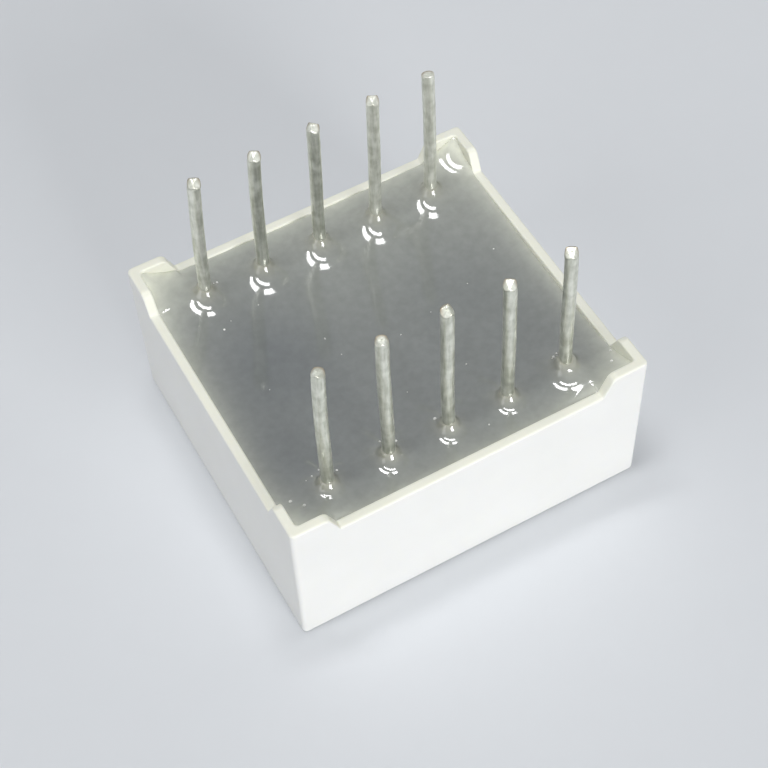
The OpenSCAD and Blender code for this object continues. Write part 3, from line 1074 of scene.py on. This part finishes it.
@dataclass
class RearPotting:
    """The resin that fills the back: a free surface that climbs at the walls and the pins."""

    body: Body = field(default_factory=Body)
    # How far the resin reaches into the walls, so that no gap shows
    lap: float = 0.03
    # Spacing of the grid's lines, and the distances over which it grows from fine to coarse
    fine: float = 0.05
    coarse: float = 0.12
    pin_zone: tuple[float, float] = (1.3, 1.9)
    wall_zone: tuple[float, float] = (0.4, 1.2)
    # How strongly each pin draws the resin up, from pin 1 to pin 10
    pulls: tuple[float, ...] = (0.39, 0.26, 0.27, 0.28, 0.26, 0.24, 0.25, 0.26, 0.265, 0.26)
    capillary: float = 1.48
    collar: float = 0.45
    collar_slope: float = 1.48
    soften: float = 0.02
    # The level in the middle, and the height, rates and phases of the faint wave on it
    middle: float = 5.64
    wave: float = 0.008
    wave_rates: tuple[float, float] = (0.9, 0.7)
    wave_phases: tuple[float, float] = (0.4, -0.8)
    # How far the shrunk surface rises and leans, by axis
    bowl: tuple[float, float] = (0.035, 0.21)
    lean: tuple[float, float] = (0.03, 0.12)
    # The climb at the walls, left and right, then front and back, and its reach by axis
    climbs: tuple[tuple[float, float], ...] = ((0.36, 0.315), (0.24, 0.06))
    reaches: tuple[float, float] = (2.5, 1.23)
    # Slope, radius and softness of the corner fillets, front and back
    fillets: tuple[tuple[float, float, float], ...] = ((0.4, 1.5, 0.38), (0.6, 1.2, 0.42))
    # How far below the rim the resin stays at the wall, and how that limit rises inwards
    brim: float = 0.03
    brim_slope: float = 0.45
    brim_soften: float = 0.05
    # How milky the resin is, and the clouds in it: x, y, radius and how much milkier
    haze: float = 0.14
    clouds: tuple[tuple[float, float, float, float], ...] = (
        (0.5, 8.0, 5.0, 0.2),
        (7.0, 4.5, 5.5, 0.1),
        (-8.0, -3.5, 3.5, -0.13),
        (-4.0, 1.0, 2.5, -0.1),
        (3.5, 0.5, 2.5, -0.06),
        (-7.5, 6.0, 2.0, -0.08),
    )
    # How pale the resin turns at the walls and in each corner, and how far that spreads
    wall_pale: float = 0.44
    wall_spread: float = 0.5
    upright_spread: float = 0.6
    corner_pale: tuple[tuple[Corner, float], ...] = (
        (Corner.NEAR_LEFT, 0.18),
        (Corner.NEAR_RIGHT, 0.3),
        (Corner.FAR_RIGHT, 0.26),
        (Corner.FAR_LEFT, 0.44),
    )
    corner_spread: float = 2.0
    # How the resin shows the tin through its thin edge at a pin, and painted light that lifts the shade
    # on the steep collar there
    foot_tint_and_painted_light: float = 0.8
    foot_spread: float = 0.2
    # Bubbles that broke through and set: x, y and radius. Their white is partly their pale skin and
    # partly a painted glint
    bubbles: tuple[tuple[float, float, float], ...] = (
        (-6.59, -5.06, 0.07),
        (-6.25, -5.5, 0.06),
        (6.95, -5.33, 0.06),
        (6.64, -5.86, 0.07),
        (-4.49, 5.27, 0.05),
        (-5.18, 3.28, 0.05),
        (-2.0, -4.64, 0.06),
        (-0.26, -4.51, 0.07),
        (-5.41, -4.46, 0.04),
        (-4.5, -4.69, 0.05),
        (-5.05, -4.32, 0.04),
        (-2.51, -4.34, 0.04),
        (4.94, -4.49, 0.05),
        (5.15, -4.37, 0.04),
    )
    # Smaller bubbles, strewn at random away from the walls
    strays: int = 16
    stray_margin: float = 0.5
    stray_radii: tuple[float, float] = (0.02, 0.035)
    seed: int = 11
    # How far a bubble's middle lies below the surface, in its radii
    sunk: float = 0.2
    ball_rings: int = 9
    ball_samples: int = 16

    def lines(self, half: float, centres: np.ndarray) -> np.ndarray:
        """Grid lines from -half to half: fine near the pins and the walls, coarse between.

        The density of the lines is one over the wished spacing. Its running total is cut
        into equal parts.

        Args:
            half: Half the length to divide.
            centres: Places of the pins along it.

        Returns:
            The lines' coordinates, rising.
        """
        probe = np.linspace(-half, half, 20001)
        from_pin = smoothstep(*self.pin_zone, np.abs(probe[:, None] - centres).min(1))
        from_wall = smoothstep(*self.wall_zone, half - np.abs(probe))
        density = 1 / (self.fine + (self.coarse - self.fine) * np.minimum(from_pin, from_wall))
        parts = (density[1:] + density[:-1]) / 2 * np.diff(probe)
        total = np.concatenate([[0], np.cumsum(parts)])
        return np.interp(np.linspace(0, total[-1], round(total[-1]) + 1), total, probe)

    def lift(self, distance: np.ndarray, pull: float) -> np.ndarray:
        """Height to which one pin draws the resin up, by the distance from its axis.

        A liquid round a thin wire stands at the pull times the Bessel function K0 of the
        distance over the capillary length. Close to the wire the distance gives way to
        that of the catenoid, (r + sqrt(r2 - pull2)) / 2, which is upright where the wire
        is wet. K0(x) is the integral of exp(-x cosh t) over t from zero up. The cured
        collar is a cone of one slope, which takes over inside its radius.

        Args:
            distance: Distances from the pin's axis.
            pull: The pin's pull.

        Returns:
            Height for each distance.
        """
        # the table starts just inside the pin and ends past the farthest corner
        table = np.linspace(self.body.pin_radius * 0.98, 20, 4000)
        # the integral is summed up to where its terms vanish
        t = np.linspace(0, 6, 121)

        def meniscus(r: np.ndarray) -> np.ndarray:
            """Height of the free liquid."""
            near = (r + np.sqrt(np.maximum(r * r - pull**2, 0))) / 2
            terms = np.exp(-near[:, None] / self.capillary * np.cosh(t))
            return pull * (terms.sum(1) - terms[:, 0] / 2) * t[1]

        free = meniscus(table)
        foot = meniscus(np.array([self.collar]))[0]
        cone = foot + (self.collar - table) * self.collar_slope
        both = self.soften * np.logaddexp(free / self.soften, cone / self.soften)
        return np.interp(np.maximum(distance, table[0]), table, both)

    def height(self, x: np.ndarray, y: np.ndarray) -> np.ndarray:
        """Height of the free surface.

        The lifts of the ten pins add up on a level with a faint wave. Along each axis it
        rises with the square of the distance from the middle, leans a little, and climbs
        exponentially towards both walls. In each corner a soft-edged cone is added. Near the
        walls the surface bends down where it would pass the rim.

        Args:
            x: Coordinates across the body.
            y: Coordinates along its depth.

        Returns:
            Height for each point.
        """
        b = self.body
        (rate_x, rate_y), (phase_x, phase_y) = self.wave_rates, self.wave_phases
        wave = np.sin(x * rate_x + phase_x) * np.cos(y * rate_y + phase_y)
        level = self.middle + self.wave * wave
        for place, pull in zip(b.pin_places(), self.pulls):
            level = level + self.lift(np.hypot(x - place[0], y - place[1]), pull)
        gaps = []
        for axis, value in enumerate((x, y)):
            half, reach = b.cavity[axis], self.reaches[axis]
            along = np.clip(value / half, -1, 1)
            level = level + self.bowl[axis] * along**2 + self.lean[axis] * along
            for side, climb in zip((-1, 1), self.climbs[axis]):
                level = level + climb * np.exp(-half * (1 - side * along) / reach)
            gaps.append(half * (1 - np.abs(along)))
        back = smoothstep(-1, 1, y)
        for share, (slope, reach, soft) in zip((1 - back, back), self.fillets):
            start = (reach - np.hypot(*gaps)) / soft
            level = level + share * slope * soft * np.logaddexp(0, start)
        soft = self.brim_soften
        for gap, away in zip(gaps, (b.half[1] - np.abs(y), b.half[0] - np.abs(x))):
            brim = b.rim_height(away) - self.brim + self.brim_slope * gap
            level = -soft * np.logaddexp(-level / soft, -brim / soft)
        return level

    def paleness(self, x: np.ndarray, y: np.ndarray, half: np.ndarray) -> np.ndarray:
        """How much of its pale colour the resin shows.

        An even haze and clouds that fade as a bell curve make it milky. It turns paler
        exponentially towards the walls and the upright corners, and as a bell curve towards
        each corner.

        Args:
            x: Coordinates across the body.
            y: Coordinates along its depth.
            half: Half-sizes of the resin.

        Returns:
            A share from 0 to 1 for each point.
        """
        pale = np.full_like(x, self.haze)
        for cloud_x, cloud_y, radius, more in self.clouds:
            pale += more * np.exp(-((np.hypot(x - cloud_x, y - cloud_y) / radius) ** 2))
        gap_x, gap_y = half[0] - np.abs(x), half[1] - np.abs(y)
        to_corner = np.hypot(gap_x, gap_y)
        pale += self.wall_pale * np.exp(-np.minimum(gap_x, gap_y) / self.wall_spread)
        pale += self.wall_pale * np.exp(-to_corner / self.upright_spread)
        bell = np.exp(-((to_corner / self.corner_spread) ** 2))
        for corner, share in self.corner_pale:
            here_x, here_y = (smoothstep(-1, 1, v * side) for v, side in zip((x, y), corner.value))
            pale += share * here_x * here_y * bell
        return np.clip(pale, 0, 1)

    def build(self) -> bpy.types.Object:
        """Makes the resin in place of its CAD node and dresses it.

        Returns:
            The resin's object.
        """
        b = self.body
        half = b.cavity + self.lap
        places = b.pin_places()
        grid = np.meshgrid(*(self.lines(half[axis], places[:, axis]) for axis in (0, 1)))
        x, y = self.rounded(*grid, half)
        to_pin = np.min([np.hypot(x - place[0], y - place[1]) for place in places], axis=0)
        # share of the foot tint: the tin showing through the thin resin, and painted light against the
        # collar's shade
        foot = self.foot_tint_and_painted_light * np.exp(-np.maximum(to_pin - b.pin_radius, 0) / self.foot_spread)
        thin = self.paleness(x, y, half)
        points = np.stack([x, y, self.height(x, y)], -1).reshape(-1, 3)
        surface = Surface()
        surface.add(points, grid_faces(*x.shape), thin=thin.ravel(), foot=foot.ravel())
        # the rim of the grid, anticlockwise: near row, right column, far row, left column
        numbers = np.arange(len(points)).reshape(x.shape)
        sides = (numbers[0, :-1], numbers[:-1, -1], numbers[-1, :0:-1], numbers[:0:-1, 0])
        upper = points[np.concatenate(sides)]
        lower = upper * [1, 1, 0] + [0, 0, b.board_back]
        wall = np.concatenate([lower, upper])
        surface.add(wall, ring_faces(2, len(upper)), thin=np.ones(len(wall)))
        surface.add_flat(lower[:, :2], [], b.board_back, up=False)
        self.add_bubbles(surface)
        piece = surface.build("potting_resin", crease=60)
        piece.data.materials.append(PottingEpoxy().build())
        return settle(piece, "rear_potting")

    def add_bubbles(self, surface: Surface) -> None:
        """Adds the bubbles, small balls that stand a little less than half out of the resin.

        Args:
            surface: What the balls are added to.
        """
        rng = np.random.default_rng(self.seed)
        spread = rng.uniform(-1, 1, (self.strays, 2)) * (self.body.cavity - self.stray_margin)
        strays = np.column_stack([spread, rng.uniform(*self.stray_radii, self.strays)])
        spots = np.concatenate([self.bubbles, strays])
        rise = np.linspace(-math.pi / 2, math.pi / 2, self.ball_rings)[:, None, None]
        flat = np.cos(rise) * circle(self.ball_samples)
        ball = np.concatenate([flat, np.broadcast_to(np.sin(rise), (*flat.shape[:2], 1))], -1)
        top = self.height(spots[:, 0], spots[:, 1])
        faces = ring_faces(self.ball_rings, self.ball_samples)
        for (x, y, radius), level in zip(spots, top):
            points = (ball * radius + [x, y, level - self.sunk * radius]).reshape(-1, 3)
            # each ball is marked for the white colour, partly its pale skin and partly a painted glint
            surface.add(points, faces, bubble=np.ones(len(points)))

    def rounded(
        self, x: np.ndarray, y: np.ndarray, half: np.ndarray
    ) -> tuple[np.ndarray, np.ndarray]:
        """Pulls the grid's corners in to the cavity's round corners.

        In each corner square the offset from its inner corner is scaled by its larger part
        over its length, which maps the square onto a quarter disc.

        Args:
            x: Grid coordinates across the body.
            y: Grid coordinates along its depth.
            half: Half-sizes of the grid.

        Returns:
            The new coordinates.
        """
        r = self.body.inner_corner + self.lap
        dx = np.maximum(np.abs(x) - (half[0] - r), 0)
        dy = np.maximum(np.abs(y) - (half[1] - r), 0)
        length = np.hypot(dx, dy)
        less = 1 - np.where(length > 0, np.maximum(dx, dy) / np.where(length > 0, length, 1), 1)
        return np.sign(x) * (np.abs(x) - dx * less), np.sign(y) * (np.abs(y) - dy * less)


@dataclass(frozen=True)
class Shear:
    """The sheared end of a pin: a facet that narrows towards one side, between two bevels."""

    tilt: float
    turn: float
    width: float
    ridge: float = 0.25
    narrowing: float = 0.4
    bevel: float = 1.1

    def ahead(self, x: np.ndarray, y: np.ndarray) -> np.ndarray:
        """How far places lie along the direction of turn, in degrees from -Y towards -X."""
        angle = math.radians(self.turn)
        return -x * math.sin(angle) - y * math.cos(angle)

    def drop(self, x: np.ndarray, y: np.ndarray) -> np.ndarray:
        """How far the end falls.

        The facet falls by its tilt along the direction of turn. Past half its width, which
        narrows along the same direction, each side falls by the bevel's slope, and so does
        the part behind the ridge.

        Args:
            x: Places on the end, from the pin's axis.
            y: The same along Y.

        Returns:
            The fall at each place, from the axis down.
        """
        ahead = self.ahead(x, y)
        aside = np.abs(self.ahead(-y, x))
        past = np.maximum(aside + self.narrowing * ahead - self.width, 0)
        past += np.maximum(-ahead - self.ridge, 0)
        return self.tilt * ahead + self.bevel * past


@dataclass
class LeadPins:
    """Ten tinned pins, each a little bent, with a stamped flat in the resin and a sheared tip."""

    body: Body = field(default_factory=Body)
    # Width and thickness of the stamped flat, and the superellipse that it follows
    anchor: tuple[float, float] = (0.614, 0.32)
    anchor_exponent: float = 8.0
    # Height of the tail's broken edge, and the size of the end below it
    tail_edge: float = 0.02
    tail_size: float = 0.93
    # Heights between which the flat turns to the round shank
    shank_from: float = 5.95
    shank_full: float = 6.22
    chamfer: float = 0.05
    end_zone: float = 0.45
    around: int = 48
    shears: tuple[Shear, ...] = (
        Shear(0.4, 28, 0.15, ridge=0.14),
        Shear(0.4, 34, 0.12, ridge=0.12),
        Shear(0.35, -10, 0.10, ridge=0.12),
        Shear(-0.05, 20, 0.12),
        Shear(-0.2, 40, 0.12),
        Shear(0.32, 28, 0.1, ridge=0.07, narrowing=0.6),
        Shear(0.35, 30, 0.09, ridge=0.07, narrowing=0.5),
        Shear(-0.08, 45, 0.09, ridge=0.12, narrowing=0.6),
        Shear(0.05, 27, 0.1, ridge=0.15, narrowing=0.6),
        Shear(-0.3, 10, 0.22),
    )
    # The rings of the end zone and of the cap: share of the way from level to the shape of
    # the end, size, depth below the end in chamfers, and how brown the cut is
    cap: tuple[tuple[float, float, float, float], ...] = (
        (0.3, 1.0, 0.0, 0.0),
        (0.6, 1.0, 0.0, 0.0),
        (0.85, 1.0, 0.0, 0.0),
        (1.0, 1.0, 1.0, 0.3),
        (1.0, 0.985, 0.5, 0.8),
        (1.0, 0.93, 0.12, 1.0),
        (1.0, 0.86, 0.0, 0.95),
        (1.0, 0.75, 0.0, 0.7),
        (1.0, 0.62, 0.0, 0.4),
        (1.0, 0.48, 0.0, 0.2),
        (1.0, 0.34, 0.0, 0.15),
        (1.0, 0.2, 0.0, 0.15),
        (1.0, 0.05, 0.0, 0.15),
    )
    # How strong the brown flash is, and how much more so behind the facet
    flash: float = 0.5
    flash_turn: float = 0.8
    # The sheared metal is a little uneven inside the rings of nearly full size
    torn: float = 0.012
    torn_inside: float = 0.9
    # How much each pin was cut shorter, from pin 1 to pin 10
    cuts: tuple[float, ...] = (0.0, 0.04, 0.05, 0.05, 0.06, 0.0, 0.0, 0.07, 0.0, 0.0)
    # How far each tip leans from its foot, in x and y, from pin 1 to pin 10. The lean starts
    # in the resin and grows with a power of the height
    lean_from: float = 5.93
    lean_power: float = 1.4
    leans: tuple[tuple[float, float], ...] = (
        (-0.07, 0.16),
        (-0.07, 0.05),
        (0.04, 0.21),
        (0.03, 0.13),
        (0.10, 0.09),
        (0.17, -0.37),
        (0.11, -0.28),
        (0.05, -0.18),
        (0.05, -0.16),
        (-0.07, -0.09),
    )
    # Height and rate of the slight wave along a pin, and how soon it sets in
    wave: float = 0.018
    wave_rate: float = 5.0
    wave_onset: float = 4.0
    # How matt the tin is on each pin, where the dip left it thick
    matt: tuple[float, ...] = (0.0, 0.0, 0.0, 0.0, 0.0, 0.25, 0.0, 0.0, 0.32, 0.38)
    seed: int = 700

    def rings(self, number: int) -> tuple[np.ndarray, np.ndarray]:
        """Rings of one pin from its tail to its sheared tip.

        The section turns from a rounded rectangle to a circle in the resin. The axis leans
        with a power of the height, plus a slight wave. Over the end zone the rings turn
        from level to the shape of the sheared end, and then close over it.

        Args:
            number: The pin's number, from 1.

        Returns:
            Points by ring, spot and axis, and how far each belongs to the cut end.
        """
        b = self.body
        rng = np.random.default_rng(self.seed + number)
        tip = b.tip - self.cuts[number - 1]
        shear = self.shears[number - 1]
        zone = tip - self.end_zone
        # first height, last height and number of rings: tail, flat, turn to round, shank
        stretches = (
            (b.tail, b.tail + self.tail_edge, 2),
            (b.tail + 0.3, self.shank_from - 0.1, 4),
            (self.shank_from, self.shank_full, 6),
            (self.shank_full + 0.15, zone, 32),
        )
        shaft = np.concatenate([np.linspace(*stretch) for stretch in stretches])
        below = len(shaft)
        share, size, depth, brown = np.array(self.cap).T[..., None]
        cos, sin = circle(self.around).T
        power = self.anchor_exponent
        blunt = (np.abs(cos) ** power + np.abs(sin) ** power) ** (-1 / power) / 2
        flat = np.column_stack([cos * blunt * self.anchor[0], sin * blunt * self.anchor[1]])
        level = np.concatenate([shaft, np.full(len(self.cap), tip)])
        rounding = smoothstep(self.shank_from, self.shank_full, level)[:, None, None]
        section = flat * (1 - rounding) + circle(self.around) * b.pin_radius * rounding
        section[0] *= self.tail_size
        section[below:] *= size[..., None]
        end = section[below:]
        fall = shear.drop(end[..., 0], end[..., 1]) + abs(shear.tilt) * b.pin_radius
        fall += rng.uniform(0, self.torn, fall.shape) * (size < self.torn_inside)
        end_height = tip - fall - depth * self.chamfer
        up = np.clip((level - self.lean_from) / (b.tip - self.lean_from), 0, 1)[:, None]
        phase = rng.uniform(0, 2 * math.pi, 2)
        onset = np.minimum(up * self.wave_onset, 1)
        wave = self.wave * np.sin(up * self.wave_rate + phase) * onset
        axis = np.array(self.leans[number - 1]) * up**self.lean_power + wave
        points = np.zeros((len(level), self.around, 3))
        points[..., :2] = section + (b.pin_places()[number - 1] + axis)[:, None]
        points[:below, :, 2] = shaft[:, None]
        points[below:, :, 2] = zone + (end_height - zone) * share
        cut = np.zeros((len(level), self.around))
        # the brown line is strongest on the side the facet faces away from
        cut[below:] = brown * np.clip(self.flash - self.flash_turn * shear.ahead(cos, sin), 0.1, 1)
        return points, cut

    def build(self) -> list[bpy.types.Object]:
        """Makes the ten pins in place of their CAD nodes and dresses them.

        Returns:
            The pins' objects, from pin 1 to pin 10.
        """
        finish = TinnedSteel().build()
        spot = np.arange(self.around)
        after = np.roll(spot, -1)
        pieces = []
        for number, matt in enumerate(self.matt, 1):
            points, cut = self.rings(number)
            hubs = [points[0].mean(0), points[-1].mean(0)]
            every = np.concatenate([points.reshape(-1, 3), hubs])
            faces = ring_faces(len(points), self.around)
            surface = Surface()
            surface.add(
                every, faces, cut=np.append(cut, [0.0, 1.0]), matt=np.full(len(every), matt)
            )
            hub = len(every) - 2
            last = hub - self.around
            for fan in ((hub, after, spot), (hub + 1, last + spot, last + after)):
                surface.faces.extend(np.column_stack(np.broadcast_arrays(*fan)).tolist())
            piece = surface.build(f"lead_pin_{number}", crease=50)
            piece.data.materials.append(finish)
            pieces.append(settle(piece, f"pin_{number}"))
        return pieces


@dataclass
class BoardAndLights:
    """The board, what is mounted on it, and the resin plugs of the segments."""

    # The finish of each kept CAD node, by a part of the node's name
    finishes: tuple[tuple[str, Finish], ...] = (
        ("_die_", DieCrystal()),
        ("_segment_", MilkyResin()),
        ("_point", MilkyResin()),
        ("circuit_board", Laminate()),
        ("board_copper", PlainMetal("etched_copper", "#d98f63", "#b56c45", 0.35, 0.3, 0.004)),
        ("solder_joints", PlainMetal("tin_solder", "#cfd0cc", "#a5a7a3", 0.28, 0.25, 0.02)),
        ("bond_wires", PlainMetal("gold_bond_wire", "#ffd27a", "#e2ad4b", 0.2, 0.05, 0.001)),
    )

    def dress(self) -> int:
        """Gives each kept CAD node its finish.

        Returns:
            How many nodes were dressed.
        """
        kinds = dict.fromkeys(finish for _, finish in self.finishes)
        materials = {finish: finish.build() for finish in kinds}
        kept = {name: node for name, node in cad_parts.items() if not node.hide_render}
        for name, node in kept.items():
            finish = next(finish for part, finish in self.finishes if part in name)
            node.data.materials.clear()
            node.data.materials.append(materials[finish])
        return len(kept)


# ------------------------------------------------------------------- the studio


@dataclass(frozen=True)
class Lamp:
    """One area lamp: where it stands, where it looks, its size and its radiance."""

    name: str
    place: tuple[float, float, float]
    target: tuple[float, float, float]
    size: tuple[float, float]
    radiance: float
    along: tuple[float, float, float] = (1.0, 0.0, 0.0)

    def build(self) -> None:
        """Makes the lamp. Its power is its radiance times its area times pi."""
        data = bpy.data.lights.new(self.name, "AREA")
        data.shape = "RECTANGLE"
        data.size, data.size_y = self.size
        data.energy = self.radiance * self.size[0] * self.size[1] * math.pi
        lamp = bpy.data.objects.new(self.name, data)
        back = (Vector(self.place) - Vector(self.target)).normalized()
        side = Vector(self.along)
        side = (side - back * side.dot(back)).normalized()
        turn = Matrix((side, back.cross(side), back)).transposed()
        lamp.matrix_world = Matrix.Translation(self.place) @ turn.to_4x4()
        bpy.context.scene.collection.objects.link(lamp)


@dataclass
class Studio:
    """Floor, lamps, world and camera, in metres."""

    lens: float = 82.72
    place: tuple[float, float, float] = (-0.018285, -0.036394, 0.060604)
    right: tuple[float, float, float] = (0.8731, -0.4865, -0.0306)
    down: tuple[float, float, float] = (-0.4138, -0.7065, -0.5742)
    sky: str = "#f6f9fc"
    fill: float = 0.2
    backdrop: float = 0.86
    floor_half: float = 2.0
    opening: tuple[float, float] = (0.0073, 0.0068)
    lamps: tuple[Lamp, ...] = (
        Lamp("front_window", (0.05, -0.75, 0.16), (0, 0, 0.004), (0.3, 0.2), 19.0),
        Lamp("left_card", (-0.7, -0.1, 0.3), (0, 0, 0.004), (0.6, 0.5), 1.3),
        # the two tubes overhead show as bright marks where the resin climbs
        Lamp("tube_near", (-0.04, 0, 0.506), (0, 0, 0.006), (0.259, 0.05), 15.8, (1, -0.08, 0)),
        Lamp("tube_far", (-0.01, 0.105, 0.506), (0, 0, 0.006), (0.255, 0.05), 15.8, (1, -0.27, 0)),
        # below the floor, for the face when it is looked at from there
        Lamp("under_card", (-0.1, -0.2, -0.5), (0, 0, 0), (0.5, 0.5), 2.4),
    )

    def camera(self) -> None:
        """Makes the camera from its place and two of its directions."""
        data = bpy.data.cameras.new("camera")
        data.lens = self.lens
        data.sensor_width = 36.0
        data.clip_start, data.clip_end = 0.001, 10.0
        camera = bpy.data.objects.new("camera", data)
        right = Vector(self.right).normalized()
        up = -(Vector(self.down) - right * Vector(self.down).dot(right)).normalized()
        turn = Matrix((right, up, right.cross(up))).transposed()
        camera.matrix_world = Matrix.Translation(self.place) @ turn.to_4x4()
        bpy.context.scene.collection.objects.link(camera)
        bpy.context.scene.camera = camera

    def floor(self) -> None:
        """Makes the floor, a wide level sheet with an opening that the face covers."""
        square = np.array([(-1, -1, 0), (1, -1, 0), (1, 1, 0), (-1, 1, 0)])
        points = np.concatenate([square * self.floor_half, square * [*self.opening, 0.0]])
        mesh = bpy.data.meshes.new("floor")
        mesh.from_pydata(points.tolist(), [], ring_faces(2, len(square)).tolist())
        mesh.materials.append(StudioPaper().build())
        floor = bpy.data.objects.new("floor", mesh)
        bpy.context.scene.collection.objects.link(floor)

    def world(self) -> None:
        """Makes the world: a pale backdrop for the view, and a dimmer fill for the light."""
        world = bpy.data.worlds.new("studio")
        world.use_nodes = True
        tree = world.node_tree
        tree.nodes.clear()
        path = add_node(tree, "LightPath")
        seen = path.outputs["Is Camera Ray"]
        for ray in ("Is Transmission Ray", "Is Glossy Ray"):
            either = {0: seen, 1: path.outputs[ray]}
            seen = add_node(tree, "Math", {"operation": "MAXIMUM"}, either).outputs[0]
        levels = {"data_type": "FLOAT", 2: self.fill, 3: self.backdrop}
        strength = add_node(tree, "Mix", levels, {0: seen})
        sky = {"Color": linear(self.sky)}
        light = add_node(tree, "Background", sky, {"Strength": strength.outputs[0]})
        add_node(tree, "OutputWorld", links={"Surface": light.outputs[0]})
        bpy.context.scene.world = world

    def build(self) -> None:
        """Makes everything that is not part of the object."""
        self.floor()
        self.world()
        for lamp in self.lamps:
            lamp.build()
        self.camera()
        bpy.context.scene.view_settings.view_transform = "Standard"


def main() -> None:
    """Builds the object piece by piece, then the studio."""
    logging.basicConfig(level=logging.INFO, format="%(name)s: %(message)s")
    housing = ReflectorHousing().build()
    log.info("housing: %d faces", len(housing.data.polygons))
    resin = RearPotting().build()
    log.info("potting resin: %d faces", len(resin.data.polygons))
    pins = LeadPins().build()
    log.info("pins: %d, %d faces each", len(pins), len(pins[0].data.polygons))
    log.info("kept CAD nodes dressed: %d", BoardAndLights().dress())
    Studio().build()


if __name__ == "__main__":
    main()
